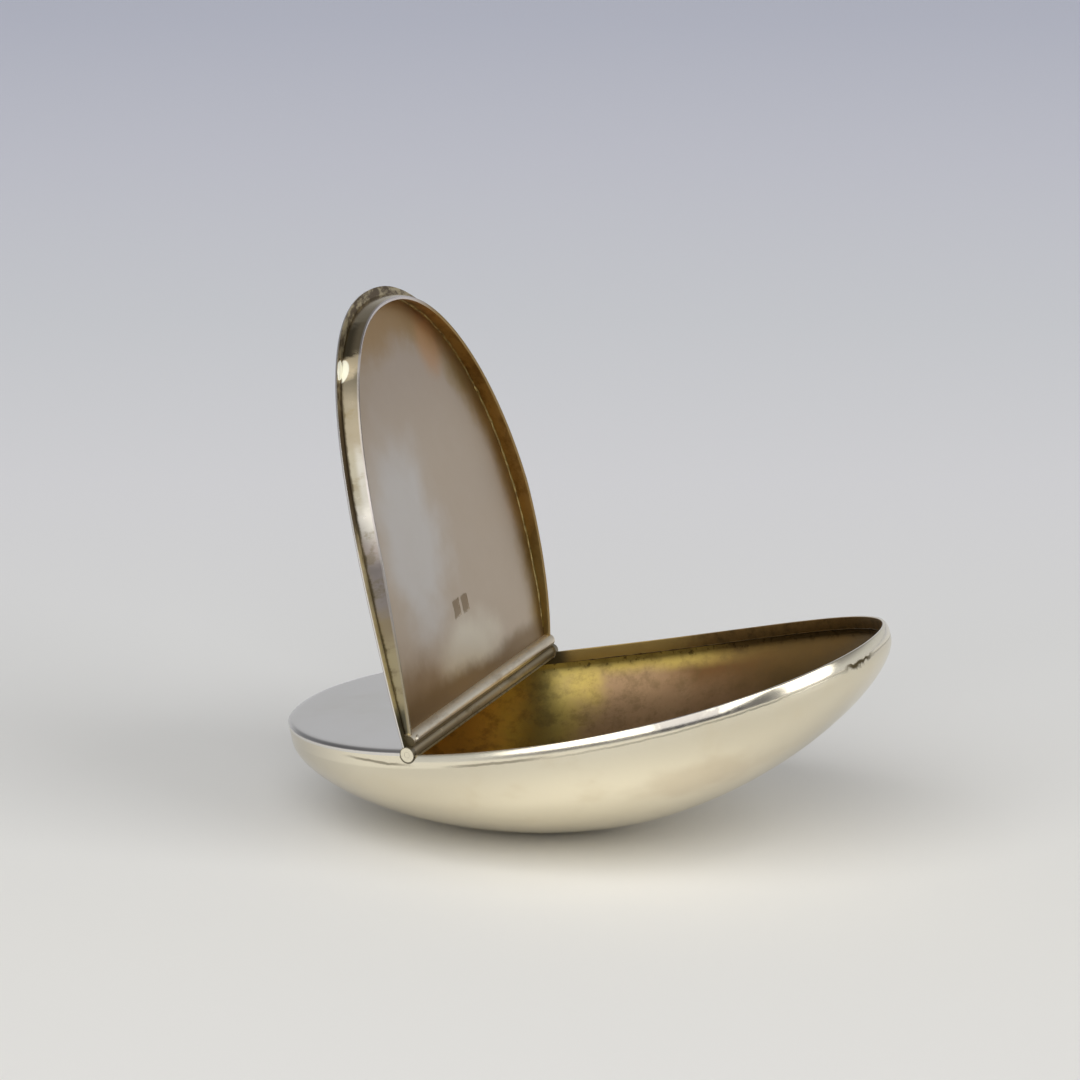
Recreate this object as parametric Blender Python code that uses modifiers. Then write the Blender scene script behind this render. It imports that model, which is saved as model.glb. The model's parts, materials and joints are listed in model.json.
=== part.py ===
"""Oval silver snuff box with a bombe underside and a hinged lid that stands open.

The box is a raised oval bowl with a rim band soldered round its mouth. The top is one dished oval cover,
cut in two along the hinge: the short piece is soldered down and the long piece is the lid. The five hinge
knuckles lie in a trough between the two pieces, and their ends are filed flush with the oval side.

Everything is built level and closed, in the box's own frame: x along the box towards the lid's tip, y across
it, z up, with the origin in the middle of the mouth. Two empties then pose it: one turns the lid open about
the hinge, and one leans the whole box back onto the worn flat of its round underside.
"""
import math

import bmesh
import bpy
import numpy as np
from mathutils import Matrix, Vector

MM = 0.001

# Overall form
LENGTH = 75.0 * MM
WIDTH = 50.0 * MM
OUTLINE_POWER = 2.2        # 2 would be an ellipse; a little more fills out its shoulders
END_RISE = 2.7 * MM        # how far the rim climbs from the middle to either end
BOWL_DEPTH = 16.4 * MM     # mouth to bottom, in the middle
BOWL_WALL = 0.6 * MM
BOWL_POWER = 1.62          # profile exponent: steep at the rim, nearly a cone lower down
BOWL_STRAIGHT = 2.1 * MM   # the wall drops straight this far before it turns in

# Rim band
BAND_HEIGHT = 1.5 * MM
BAND_WIDTH = 0.7 * MM
BAND_ROUND = 0.35 * MM

# Cover: the fixed plate and the lid
COVER_THICKNESS = 0.48 * MM
SHOULDER_WIDTH = 1.1 * MM
SHOULDER_DROP = 0.36 * MM

# Lid bezel, the upright strip that plugs the mouth
BEZEL_HEIGHT = 1.85 * MM
BEZEL_WALL = 0.45 * MM
BEZEL_LEAN = 0.5 * MM      # its free edge stands in by this much, so it swings clear of the band
BEZEL_TAPER = 22.0 * MM    # it grows to full height over this distance from the hinge
BEZEL_START = 0.4 * MM     # its ends stop this far short of the bearer

# Hinge
HINGE_X = -14.05 * MM
HINGE_LIFT = 0.12 * MM         # the pin's centre above the top of the band
KNUCKLE_RADIUS = 0.7 * MM
COLLAR_RADIUS = 0.95 * MM      # the two outer knuckles widen to this where they pass through the band
BORE_RADIUS = 0.45 * MM
PIN_RADIUS = 0.33 * MM
KNUCKLES = ("box_knuckle_near", "lid_knuckle_near", "box_knuckle_middle", "lid_knuckle_far", "box_knuckle_far")
TROUGH_WALL = 0.22 * MM
TROUGH_SPAN = (190.0, 335.0)   # degrees round the pin, from the fixed plate's side to the lip inside the box
FLANGE_WIDTH = 1.7 * MM
FLANGE_THICKNESS = 0.45 * MM
BEARER_CENTRE = 1.68 * MM
BEARER_HALF_WIDTH = 0.62 * MM
BEARER_DEPTH = 0.95 * MM
LID_OPEN = 90.7                # degrees from closed

# Rest
REST_PITCH = 12.6              # degrees, with the lid's tip of the box raised
FLAT_DEPTH = 0.12 * MM         # worn flat on the underside

# Gaps between separate pieces
SEAT_GAP = 0.2 * MM            # soldered or resting pieces
RUN_GAP = 0.15 * MM            # pieces that turn past each other
END_GAP = 0.2 * MM             # between the ends of neighbouring knuckles
INSIDE_BAND = BAND_WIDTH + SEAT_GAP

# Cutting and trimming
FAR = 60 * MM                  # beyond everything
TRIM = 1 * MM                  # how far a piece runs past the oval before it is cut flush

# Mesh fineness
AROUND = 96
BOWL_RINGS = 13
COVER_RINGS = 7
TUBE_SIDES = 24

HALF_LENGTH = LENGTH / 2
HALF_WIDTH = WIDTH / 2
COVER_BOTTOM = SEAT_GAP
COVER_TOP = COVER_BOTTOM + COVER_THICKNESS


def rise(x):
    """Height of the rim above its middle, at a place along the box."""
    return END_RISE * (x / HALF_LENGTH) ** 2


HINGE_Z = rise(HINGE_X) + HINGE_LIFT


def rounded_power(value, power):
    return math.copysign(abs(value) ** power, value)


def oval_point(angle, inset=0.0, scale=1.0):
    """A point of the oval outline, moved in by an inset or shrunk by a scale."""
    x = (HALF_LENGTH - inset) * scale * rounded_power(math.cos(angle), 2 / OUTLINE_POWER)
    y = (HALF_WIDTH - inset) * scale * rounded_power(math.sin(angle), 2 / OUTLINE_POWER)
    return x, y


def half_width_at(x):
    """Half the width of the outline at a place along the box."""
    return HALF_WIDTH * (1 - abs(x / HALF_LENGTH) ** OUTLINE_POWER) ** (1 / OUTLINE_POWER)


def outward(x, y):
    """The direction square to the oval, pointing out of it."""
    slope_x = rounded_power(x / HALF_LENGTH, OUTLINE_POWER - 1) / HALF_LENGTH
    slope_y = rounded_power(y / HALF_WIDTH, OUTLINE_POWER - 1) / HALF_WIDTH
    return Vector((slope_x, slope_y, 0)).normalized()


def bowl_height(share):
    """Height of the bowl's outside at a share of the way from its middle to its rim."""
    curved = BOWL_DEPTH - BOWL_STRAIGHT
    return -BOWL_STRAIGHT - curved * (1 - share ** BOWL_POWER) ** (1 / BOWL_POWER)


def quarter_arc(centre, radii, start, steps=3):
    """Points of a quarter turn of an ellipse in a profile, counter-clockwise from a start angle in degrees."""
    angles = [math.radians(start + 90 * i / steps) for i in range(steps + 1)]
    return [(centre[0] + radii[0] * math.cos(a), centre[1] + radii[1] * math.sin(a)) for a in angles]


# Scene, collections and materials

for leftover in list(bpy.data.objects):
    bpy.data.objects.remove(leftover, do_unlink=True)

parts = bpy.data.collections.new("snuff_box")
cutters = bpy.data.collections.new("snuff_box_cutters")
bpy.context.scene.collection.children.link(parts)
bpy.context.scene.collection.children.link(cutters)


def make_material(name, colour, roughness):
    material = bpy.data.materials.new(name)
    material.use_nodes = True
    shader = material.node_tree.nodes["Principled BSDF"]
    shader.inputs["Base Color"].default_value = (*colour, 1.0)
    shader.inputs["Roughness"].default_value = roughness
    shader.inputs["Metallic"].default_value = 1.0
    return material


def make_empty(name, location, pitch, parent=None):
    """An empty that lifts its +X end by a pitch in degrees."""
    empty = bpy.data.objects.new(name, None)
    parts.objects.link(empty)
    empty.location = location
    empty.rotation_euler = (0, -math.radians(pitch), 0)
    empty.parent = parent
    return empty


def add_object(name, mesh_source, collection=None, parent=None, offset=(0, 0, 0)):
    """Turns a bmesh into an object under a parent empty."""
    bmesh.ops.recalc_face_normals(mesh_source, faces=mesh_source.faces)
    mesh = bpy.data.meshes.new(name)
    mesh_source.to_mesh(mesh)
    mesh_source.free()
    obj = bpy.data.objects.new(name, mesh)
    (collection or parts).objects.link(obj)
    obj.parent = parent
    obj.location = offset
    return obj


def finish_part(obj, colour, roughness, sharp_angle=35):
    obj.data.materials.append(make_material(obj.name, colour, roughness))
    obj.data.shade_smooth()
    obj.data.set_sharp_from_angle(angle=math.radians(sharp_angle))
    return obj


def add_cutter(name, mesh_source, parent, offset):
    cutter = add_object(name, mesh_source, cutters, parent, offset)
    cutter.hide_render = True
    cutter.display_type = "WIRE"
    return cutter


def boolean(obj, cutter, operation):
    modifier = obj.modifiers.new(f"{operation.lower()}_{cutter.name}", "BOOLEAN")
    modifier.operation = operation
    modifier.object = cutter
    modifier.solver = "EXACT"


# Shapes shared by several pieces

def spun_oval(profile, closed, place):
    """Spins a profile of (radius, height) points round Z and moves each point out to its place on the oval."""
    shape = bmesh.new()
    points = [shape.verts.new((radius, 0, height)) for radius, height in profile]
    edges = [shape.edges.new(pair) for pair in zip(points, points[1:])]
    if closed:
        edges.append(shape.edges.new((points[-1], points[0])))
    bmesh.ops.spin(shape, geom=points + edges, cent=(0, 0, 0), axis=(0, 0, 1), angle=math.tau,
                   steps=AROUND, use_merge=True)
    bmesh.ops.remove_doubles(shape, verts=shape.verts, dist=0.001 * MM)
    for vert in shape.verts:
        x, y = place(math.hypot(vert.co.x, vert.co.y), math.atan2(vert.co.y, vert.co.x))
        vert.co = (x, y, vert.co.z + rise(x))
    return shape


def share_of_oval(radius, angle):
    """A radius of 1 lies on the outline, smaller ones on smaller ovals of the same form."""
    return oval_point(angle, scale=radius)


def inside_outline(radius, angle):
    """Keeps distances from the outline, so that a wall has one thickness all round."""
    return oval_point(angle, inset=HALF_LENGTH - radius)


def cover_oval(radius, angle):
    """Keeps distances over the shoulder, and shrinks evenly towards the middle inside it."""
    inset = min(max(0.0, HALF_LENGTH - radius), SHOULDER_WIDTH)
    x, y = oval_point(angle, inset=inset)
    shrink = min(1.0, radius / (HALF_LENGTH - SHOULDER_WIDTH))
    return x * shrink, y * shrink


def oval_prism(inset):
    """A tall oval block for trimming the ends of cross pieces to the oval."""
    shape = bmesh.new()
    bmesh.ops.create_circle(shape, cap_ends=True, segments=AROUND, radius=1.0)
    for vert in shape.verts:
        x, y = oval_point(math.atan2(vert.co.y, vert.co.x), inset=inset)
        vert.co = (x, y, -FAR)
    lifted = bmesh.ops.extrude_face_region(shape, geom=shape.faces[:])["geom"]
    bmesh.ops.translate(shape, verts=[g for g in lifted if isinstance(g, bmesh.types.BMVert)],
                        vec=(0, 0, 2 * FAR))
    return shape


def block(low, high):
    shape = bmesh.new()
    bmesh.ops.create_cube(shape, size=1.0)
    size = Vector(high) - Vector(low)
    centre = (Vector(high) + Vector(low)) / 2
    bmesh.ops.scale(shape, verts=shape.verts, vec=size)
    bmesh.ops.translate(shape, verts=shape.verts, vec=centre)
    return shape


def turned_along_y(section, closed):
    """A section of (radius, y) points turned round the hinge axis."""
    shape = bmesh.new()
    points = [shape.verts.new((HINGE_X + radius, y, HINGE_Z)) for radius, y in section]
    edges = [shape.edges.new(pair) for pair in zip(points, points[1:])]
    if closed:
        edges.append(shape.edges.new((points[-1], points[0])))
    bmesh.ops.spin(shape, geom=points + edges, cent=(HINGE_X, 0, HINGE_Z), axis=(0, 1, 0), angle=math.tau,
                   steps=TUBE_SIDES, use_merge=True)
    bmesh.ops.remove_doubles(shape, verts=shape.verts, dist=0.001 * MM)
    return shape


def bar_along_y(profile):
    """A profile of (x, z) points, measured from the hinge axis, extruded the whole width of the box."""
    shape = bmesh.new()
    reach = HALF_WIDTH + TRIM
    points = [shape.verts.new((HINGE_X + x, -reach, HINGE_Z + z)) for x, z in profile]
    edges = [shape.edges.new(pair) for pair in zip(points, points[1:] + points[:1])]
    section = bmesh.ops.edgeloop_fill(shape, edges=edges)["faces"]
    pushed = bmesh.ops.extrude_face_region(shape, geom=section)["geom"]
    bmesh.ops.translate(shape, verts=[g for g in pushed if isinstance(g, bmesh.types.BMVert)],
                        vec=(0, 2 * reach, 0))
    return shape


HINGE_HALF = half_width_at(HINGE_X)
COLLAR_START = HINGE_HALF - BAND_WIDTH


# Where the box rests: the lowest point of the leaning bowl, found along its middle

pitch = math.radians(REST_PITCH)
reach_along = np.linspace(-HALF_LENGTH, HALF_LENGTH, 3001)
bottom_line = np.array([bowl_height(abs(x) / HALF_LENGTH) + rise(x) for x in reach_along])
world_height = reach_along * math.sin(pitch) + bottom_line * math.cos(pitch)
lowest = int(np.argmin(world_height))
rest_x = reach_along[lowest] * math.cos(pitch) - bottom_line[lowest] * math.sin(pitch)
rest_z = world_height[lowest] + FLAT_DEPTH

leaning_box = make_empty("leaning_box", (-rest_x, 0, -rest_z), REST_PITCH)
lid_hinge = make_empty("lid_hinge", (HINGE_X, 0, HINGE_Z), LID_OPEN, leaning_box)
BOX = {"parent": leaning_box, "offset": (0, 0, 0)}
LID = {"parent": lid_hinge, "offset": (-HINGE_X, 0, -HINGE_Z)}


# Cutters and trimming blocks

ground = add_cutter("ground_block", block((-FAR, -FAR, -FAR), (FAR, FAR, 0)), None, (0, 0, 0))
wide = COLLAR_RADIUS + RUN_GAP
narrow = KNUCKLE_RADIUS + RUN_GAP
step_at = COLLAR_START - RUN_GAP
channel_section = [(0, -FAR), (wide, -FAR), (wide, -step_at), (narrow, -step_at),
                   (narrow, step_at), (wide, step_at), (wide, FAR), (0, FAR)]
channel = {}
inside_oval = {}
for side, place in (("box", BOX), ("lid", LID)):
    channel[side] = add_cutter(f"{side}_hinge_channel", turned_along_y(channel_section, closed=False), **place)
    inside_oval[side] = add_cutter(f"{side}_inside_oval", oval_prism(INSIDE_BAND), **place)
outside_oval = add_cutter("outside_oval", oval_prism(0.0), **BOX)
short_side = add_cutter("short_side_block", block((-FAR, -FAR, -FAR), (HINGE_X, FAR, FAR)), **BOX)
long_side = add_cutter("long_side_block", block((HINGE_X, -FAR, -FAR), (FAR, FAR, FAR)), **LID)


# Bowl: an open surface spun to the oval, thickened inwards and worn flat where it rests

def make_bowl():
    shares = [math.sin(math.pi / 2 * i / BOWL_RINGS) for i in range(BOWL_RINGS + 1)]
    profile = [(share, bowl_height(share)) for share in shares]
    profile.append((1.0, -BAND_HEIGHT - SEAT_GAP))
    bowl = add_object("bowl", spun_oval(profile, False, share_of_oval), **BOX)
    wall = bowl.modifiers.new("wall", "SOLIDIFY")
    wall.thickness = BOWL_WALL
    wall.offset = -1
    wall.use_even_offset = True
    boolean(bowl, ground, "DIFFERENCE")
    return finish_part(bowl, (0.86, 0.80, 0.66), 0.22)


# Rim band: a rectangular wire with its top edges rounded, notched where the knuckles pass through it

def make_rim_band():
    outer = HALF_LENGTH
    inner = HALF_LENGTH - BAND_WIDTH
    small_round = BAND_ROUND / 2
    profile = [(inner, -BAND_HEIGHT), (outer, -BAND_HEIGHT)]
    profile += quarter_arc((outer - BAND_ROUND, -BAND_ROUND), (BAND_ROUND, BAND_ROUND), 0)
    profile += quarter_arc((inner + small_round, -small_round), (small_round, small_round), 90, steps=2)
    band = add_object("rim_band", spun_oval(profile, True, inside_outline), **BOX)
    boolean(band, channel["box"], "DIFFERENCE")
    return finish_part(band, (0.88, 0.85, 0.76), 0.14)


# Cover: one dished oval plate with a rounded shoulder, cut along the hinge into fixed plate and lid

def cover_blank():
    flat_reach = HALF_LENGTH - SHOULDER_WIDTH
    rings = [flat_reach * i / COVER_RINGS for i in range(1, COVER_RINGS + 1)]
    profile = [(0.0, COVER_TOP)] + [(radius, COVER_TOP) for radius in rings]
    shoulder = quarter_arc((flat_reach, COVER_TOP - SHOULDER_DROP), (SHOULDER_WIDTH, SHOULDER_DROP), 0)
    profile += reversed(shoulder[:-1])
    profile += [(HALF_LENGTH, COVER_BOTTOM)] + [(radius, COVER_BOTTOM) for radius in reversed(rings)]
    profile += [(0.0, COVER_BOTTOM)]
    return spun_oval(profile, False, cover_oval)


def make_cover(name, keep, side, place):
    cover = add_object(name, cover_blank(), **place)
    boolean(cover, keep, "INTERSECT")
    boolean(cover, channel[side], "DIFFERENCE")
    return finish_part(cover, (0.72, 0.70, 0.68), 0.28)


# Lid bezel: a strip that follows the oval inside the band and tapers away towards the hinge

def make_lid_bezel():
    inset = INSIDE_BAND + RUN_GAP
    start_x = HINGE_X + BEARER_CENTRE + BEARER_HALF_WIDTH + BEZEL_START
    angles = [math.tau * (i / AROUND - 0.5) for i in range(AROUND + 1)]
    line = [oval_point(angle, inset=inset) for angle in angles]
    line = [(x, y) for x, y in line if x >= start_x]
    shape = bmesh.new()
    top = COVER_BOTTOM - SEAT_GAP
    points = [shape.verts.new((x, y, top + rise(x))) for x, y in line]
    edges = [shape.edges.new(pair) for pair in zip(points, points[1:])]
    pulled = bmesh.ops.extrude_edge_only(shape, edges=edges)["geom"]
    for vert in (g for g in pulled if isinstance(g, bmesh.types.BMVert)):
        share = min(1.0, (vert.co.x - HINGE_X) / BEZEL_TAPER) ** 0.5
        vert.co -= outward(vert.co.x, vert.co.y) * BEZEL_LEAN * share
        vert.co.z -= BEZEL_HEIGHT * share
    bezel = add_object("lid_bezel", shape, **LID)
    wall = bezel.modifiers.new("wall", "SOLIDIFY")
    wall.thickness = BEZEL_WALL
    wall.offset = -1
    wall.use_even_offset = True
    return finish_part(bezel, (0.80, 0.74, 0.60), 0.25)


# Hinge: trough on the box, half-round bearer on the lid, five knuckles between them and one pin

def make_trough():
    inner = KNUCKLE_RADIUS + RUN_GAP
    outer = inner + TROUGH_WALL
    start, end = (math.radians(angle) for angle in TROUGH_SPAN)
    sweep = [start + (end - start) * i / 10 for i in range(11)]
    profile = [(inner * math.cos(a), inner * math.sin(a)) for a in sweep]
    profile += [(outer * math.cos(a), outer * math.sin(a)) for a in reversed(sweep)]
    flange_top = inner * math.sin(start)
    flange_left = outer * math.cos(start) - FLANGE_WIDTH
    profile[-1] = (outer * math.cos(start), flange_top - FLANGE_THICKNESS)
    profile += [(flange_left, flange_top - FLANGE_THICKNESS), (flange_left, flange_top)]
    trough = add_object("box_hinge_trough", bar_along_y(profile), **BOX)
    boolean(trough, inside_oval["box"], "INTERSECT")
    return finish_part(trough, (0.60, 0.52, 0.36), 0.35)


def make_bearer():
    top = rise(HINGE_X + BEARER_CENTRE) + COVER_BOTTOM - SEAT_GAP - HINGE_Z
    arc = [math.pi * i / 12 for i in range(13)]
    profile = [(BEARER_CENTRE - BEARER_HALF_WIDTH * math.cos(a), top - BEARER_DEPTH * math.sin(a)) for a in arc]
    bearer = add_object("lid_hinge_bearer", bar_along_y(profile), **LID)
    boolean(bearer, inside_oval["lid"], "INTERSECT")
    boolean(bearer, channel["lid"], "DIFFERENCE")
    return finish_part(bearer, (0.78, 0.75, 0.70), 0.3)


def make_knuckles():
    step = 2 * HINGE_HALF / len(KNUCKLES)
    for number, name in enumerate(KNUCKLES):
        start = -HINGE_HALF + number * step + END_GAP / 2
        end = start + step - END_GAP
        outside = [(KNUCKLE_RADIUS, start), (KNUCKLE_RADIUS, end)]
        if name == "box_knuckle_near":
            start = -HINGE_HALF - TRIM
            outside = [(COLLAR_RADIUS, start), (COLLAR_RADIUS, -COLLAR_START),
                       (KNUCKLE_RADIUS, -COLLAR_START), (KNUCKLE_RADIUS, end)]
        if name == "box_knuckle_far":
            end = HINGE_HALF + TRIM
            outside = [(KNUCKLE_RADIUS, start), (KNUCKLE_RADIUS, COLLAR_START),
                       (COLLAR_RADIUS, COLLAR_START), (COLLAR_RADIUS, end)]
        section = [(BORE_RADIUS, start)] + outside + [(BORE_RADIUS, end)]
        place = LID if name.startswith("lid") else BOX
        knuckle = add_object(name, turned_along_y(section, closed=True), **place)
        if len(outside) > 2:
            boolean(knuckle, outside_oval, "INTERSECT")
        finish_part(knuckle, (0.74, 0.71, 0.66), 0.3)


def make_pin():
    reach = HINGE_HALF + TRIM
    section = [(0, -reach), (PIN_RADIUS, -reach), (PIN_RADIUS, reach), (0, reach)]
    pin = add_object("hinge_pin", turned_along_y(section, closed=False), **BOX)
    boolean(pin, outside_oval, "INTERSECT")
    return finish_part(pin, (0.70, 0.64, 0.52), 0.35)


make_bowl()
make_rim_band()
make_cover("fixed_top_plate", short_side, "box", BOX)
make_cover("lid_plate", long_side, "lid", LID)
make_lid_bezel()
make_trough()
make_bearer()
make_knuckles()
make_pin()
bpy.context.view_layer.update()
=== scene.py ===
import json
import math

import bmesh
import bpy
from mathutils import Matrix, Vector, noise


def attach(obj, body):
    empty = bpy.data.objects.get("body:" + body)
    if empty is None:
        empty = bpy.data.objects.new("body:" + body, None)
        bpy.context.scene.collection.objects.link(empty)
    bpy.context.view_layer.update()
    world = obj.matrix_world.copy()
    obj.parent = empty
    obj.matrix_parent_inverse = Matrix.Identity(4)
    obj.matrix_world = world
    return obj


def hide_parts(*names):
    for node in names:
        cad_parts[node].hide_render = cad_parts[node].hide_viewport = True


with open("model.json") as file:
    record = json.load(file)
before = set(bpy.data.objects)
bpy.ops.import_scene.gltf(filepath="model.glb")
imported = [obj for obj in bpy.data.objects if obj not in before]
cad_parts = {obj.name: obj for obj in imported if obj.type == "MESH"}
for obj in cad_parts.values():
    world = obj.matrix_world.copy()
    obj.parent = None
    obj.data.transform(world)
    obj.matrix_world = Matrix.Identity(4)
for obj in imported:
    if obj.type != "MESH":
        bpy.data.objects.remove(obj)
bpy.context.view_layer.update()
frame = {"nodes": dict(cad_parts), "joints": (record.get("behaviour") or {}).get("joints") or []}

# An oval silver snuff box that stands open on its round underside. Sizes are in metres. Each piece is shaped
# level and shut, with the origin in the middle of the mouth and x towards the lid's tip, and is then posed.

MM = 0.001

# Overall form, as in the part's source
HALF_LENGTH = 37.5 * MM
HALF_WIDTH = 25.0 * MM
OUTLINE_POWER = 2.2
END_RISE = 2.7 * MM
BOWL_DEPTH = 16.4 * MM
BOWL_WALL = 0.6 * MM
BOWL_POWER = 1.62
BOWL_STRAIGHT = 2.1 * MM

# Rim band
BAND_HEIGHT = 1.5 * MM
BAND_WIDTH = 0.7 * MM
BAND_BULGE = 3.0 * MM          # its outer face is curved to this radius where the mouth is open
BAND_BULGE_TURN = 28.0         # degrees that the curve leans in by, up to its top corner
BAND_CORNER = 0.07 * MM

# Cover: the fixed plate and the lid
COVER_BOTTOM = 0.2 * MM
COVER_TOP = 0.68 * MM
SHOULDER_WIDTH = 1.1 * MM
SHOULDER_DROP = 0.36 * MM

# Lid bezel
BEZEL_INSET = 1.0 * MM
BEZEL_HEIGHT = 1.85 * MM
BEZEL_WALL = 0.45 * MM
BEZEL_LEAN = 0.5 * MM
BEZEL_TAPER = 22.0 * MM
BEZEL_EASE = 0.08 * MM

# Two plain punched dents inside the lid
PUNCH_X = -2.0 * MM
PUNCH_PLACES = (-1.6 * MM, 1.0 * MM)
PUNCH_LONG = 2.1 * MM
PUNCH_WIDE = 1.9 * MM
PUNCH_DEEP = 0.10 * MM
PUNCH_ROUNDING = 0.12          # share of its width

# Hinge
HINGE_X = -14.05 * MM
HINGE_LIFT = 0.12 * MM
KNUCKLE_RADIUS = 0.7 * MM
KNUCKLE_EASE = 0.03 * MM
COLLAR_RADIUS = 0.95 * MM
COLLAR_OVERLAP = 0.1 * MM      # the collar starts this far into the band's width
PIN_RADIUS = 0.33 * MM
PIN_GAP = 0.02 * MM
FINE_GAP = 0.04 * MM           # what the eye sees between pieces that turn past each other
TROUGH_WALL = 0.22 * MM
TROUGH_SPAN = (190.0, 310.0)   # degrees round the hinge axis
FLANGE_WIDTH = 1.7 * MM
FLANGE_THICKNESS = 0.45 * MM
BEARER_CENTRE = 1.42 * MM
BEARER_HALF_WIDTH = 0.88 * MM
BEARER_DEPTH = 0.95 * MM
BEARER_BITE = 0.05 * MM        # how far it reaches into the lid
BEARER_END_GAP = 0.1 * MM
LID_OPEN = 90.7                # degrees
REST_PITCH = 12.6              # degrees that the whole box leans back by

# Solder: the radius of each bead, and how far inside the outline and beyond the hinge it runs
SEAM_BEAD = 0.08 * MM
SEAM_BEAD_INSET = BAND_WIDTH - 0.04 * MM
SEAM_BEAD_START = HINGE_X + 1.2 * MM
ROOT_BEAD = 0.13 * MM
ROOT_BEAD_INSET = BEZEL_INSET + BEZEL_WALL + 0.02 * MM
ROOT_BEAD_START = HINGE_X + BEARER_CENTRE + BEARER_HALF_WIDTH + 1.0 * MM
BEAD_RUN_IN = 4.0 * MM         # the bead swells to its full size over this length
BEAD_THINNEST = 0.15           # share of its full size where it starts
BEAD_GRAIN = 0.8               # lumps per millimetre
BEARER_DROP = {"x": -12.95 * MM, "inset": 1.9 * MM, "height": COVER_BOTTOM - 0.95 * MM,
               "size": (0.40 * MM, 0.50 * MM, 0.38 * MM), "seed": 3.0}
# A flat drop on the ledge by the tip; its bright cream colour is a painted highlight
LEDGE_GLINT_DROP = {"x": 31.0 * MM, "inset": 0.6 * MM, "height": COVER_BOTTOM,
              "size": (1.35 * MM, 0.52 * MM, 0.14 * MM), "seed": 7.0}

# Mesh fineness
AROUND = 288
BEAD_AROUND = 720
BEAD_SIDES = 8
BOWL_RINGS = 36
COVER_RINGS = 18
TUBE_SIDES = 48
SHOULDER_STEPS = 10
BAND_FACE_STEPS = 12
CORNER_STEPS = 4
TROUGH_STEPS = 20
BEARER_STEPS = 24
CRISP_RING = 0.01 * MM         # a ring this close to an edge keeps it crisp
SAME_POINT = 0.001 * MM
ON_THE_CUT = 0.0001 * MM
FAR = 60 * MM                  # past every end of the box
TRIM = 1 * MM                  # a cross bar starts this much too long at each end
SHARP_ANGLE = 32.0             # degrees; flatter edges are shaded smooth
EASE_STEPS = 3
EASE_ANGLE = 50.0              # degrees; flatter edges are not eased
FACING = 0.5                   # a face looks a way when its normal goes more than this share that way
KNUCKLE_SIDE_FACING = 0.3
END_FACING = 0.7


def rise(x):
    """Height of the rim above its middle, at a place along the box."""
    return END_RISE * (x / HALF_LENGTH) ** 2


HINGE_Z = rise(HINGE_X) + HINGE_LIFT


def rounded_power(value, power):
    return math.copysign(abs(value) ** power, value)


def oval_point(angle, inset=0.0, scale=1.0):
    """A point of the oval outline, moved in by an inset or shrunk by a scale."""
    x = (HALF_LENGTH - inset) * scale * rounded_power(math.cos(angle), 2 / OUTLINE_POWER)
    y = (HALF_WIDTH - inset) * scale * rounded_power(math.sin(angle), 2 / OUTLINE_POWER)
    return x, y


def half_width_at(x):
    return HALF_WIDTH * (1 - abs(x / HALF_LENGTH) ** OUTLINE_POWER) ** (1 / OUTLINE_POWER)


def outward(x, y):
    """The direction square to the oval, pointing out of it."""
    slope_x = rounded_power(x / HALF_LENGTH, OUTLINE_POWER - 1) / HALF_LENGTH
    slope_y = rounded_power(y / HALF_WIDTH, OUTLINE_POWER - 1) / HALF_WIDTH
    return Vector((slope_x, slope_y, 0)).normalized()


def bowl_height(share):
    """Height of the bowl's outside at a share of the way out from its middle."""
    curved = BOWL_DEPTH - BOWL_STRAIGHT
    return -BOWL_STRAIGHT - curved * (1 - share ** BOWL_POWER) ** (1 / BOWL_POWER)


def bezel_share(x):
    """How much of its full height the bezel has at a place along the box."""
    return min(1.0, max(0.0, (x - HINGE_X) / BEZEL_TAPER)) ** 0.5


def arc(centre, radii, start, end, steps):
    """Points of an elliptic arc in a profile, between two angles in degrees."""
    angles = [math.radians(start + (end - start) * i / steps) for i in range(steps + 1)]
    return [(centre[0] + radii[0] * math.cos(a), centre[1] + radii[1] * math.sin(a)) for a in angles]


# Poses: the hinge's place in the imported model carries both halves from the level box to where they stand

hinge_at = Vector(frame["joints"][0]["pos_m"])
to_hinge = Matrix.Translation((-HINGE_X, 0, -HINGE_Z))
TURN = {"box": REST_PITCH, "lid": REST_PITCH + LID_OPEN}
POSE = {side: Matrix.Translation(hinge_at) @ Matrix.Rotation(-math.radians(turn), 4, "Y") @ to_hinge
        for side, turn in TURN.items()}


# Camera, from the fit of the box's outline to the photograph

CAMERA_TURN = 20.84            # degrees round the box
CAMERA_UP = 14.67              # degrees above the table
CAMERA_AWAY = 555.01 * MM
CAMERA_ASIDE = 5.839 * MM
CAMERA_RAISE = -18.193 * MM
FOCAL_PIXELS = 4633.77
PHOTO_PIXELS = 1080
SENSOR_WIDTH = 36.0
NEAREST_SEEN = 50 * MM
FARTHEST_SEEN = 50000 * MM


def make_camera():
    turn, up = math.radians(CAMERA_TURN), math.radians(CAMERA_UP)
    level = Matrix.Rotation(turn, 3, "Z")
    tilt = Matrix.Rotation(-up, 3, "X")
    to_world = level @ tilt
    right = to_world @ Vector((1, 0, 0))
    ahead = to_world @ Vector((0, 1, 0))
    above = to_world @ Vector((0, 0, 1))
    box_middle = POSE["box"] @ Vector((0, 0, 0))
    camera = bpy.data.objects.new("camera", bpy.data.cameras.new("camera"))
    bpy.context.scene.collection.objects.link(camera)
    camera.data.sensor_width = SENSOR_WIDTH
    camera.data.lens = SENSOR_WIDTH * FOCAL_PIXELS / PHOTO_PIXELS
    camera.data.clip_start = NEAREST_SEEN
    camera.data.clip_end = FARTHEST_SEEN
    axes = Matrix((right, above, -ahead)).transposed()
    spot = box_middle - right * CAMERA_ASIDE - ahead * CAMERA_AWAY - above * CAMERA_RAISE
    camera.matrix_world = Matrix.Translation(spot) @ axes.to_4x4()
    bpy.context.scene.camera = camera


make_camera()


# Shader building blocks; places and widths in them are in millimetres of the level, shut box

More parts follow.
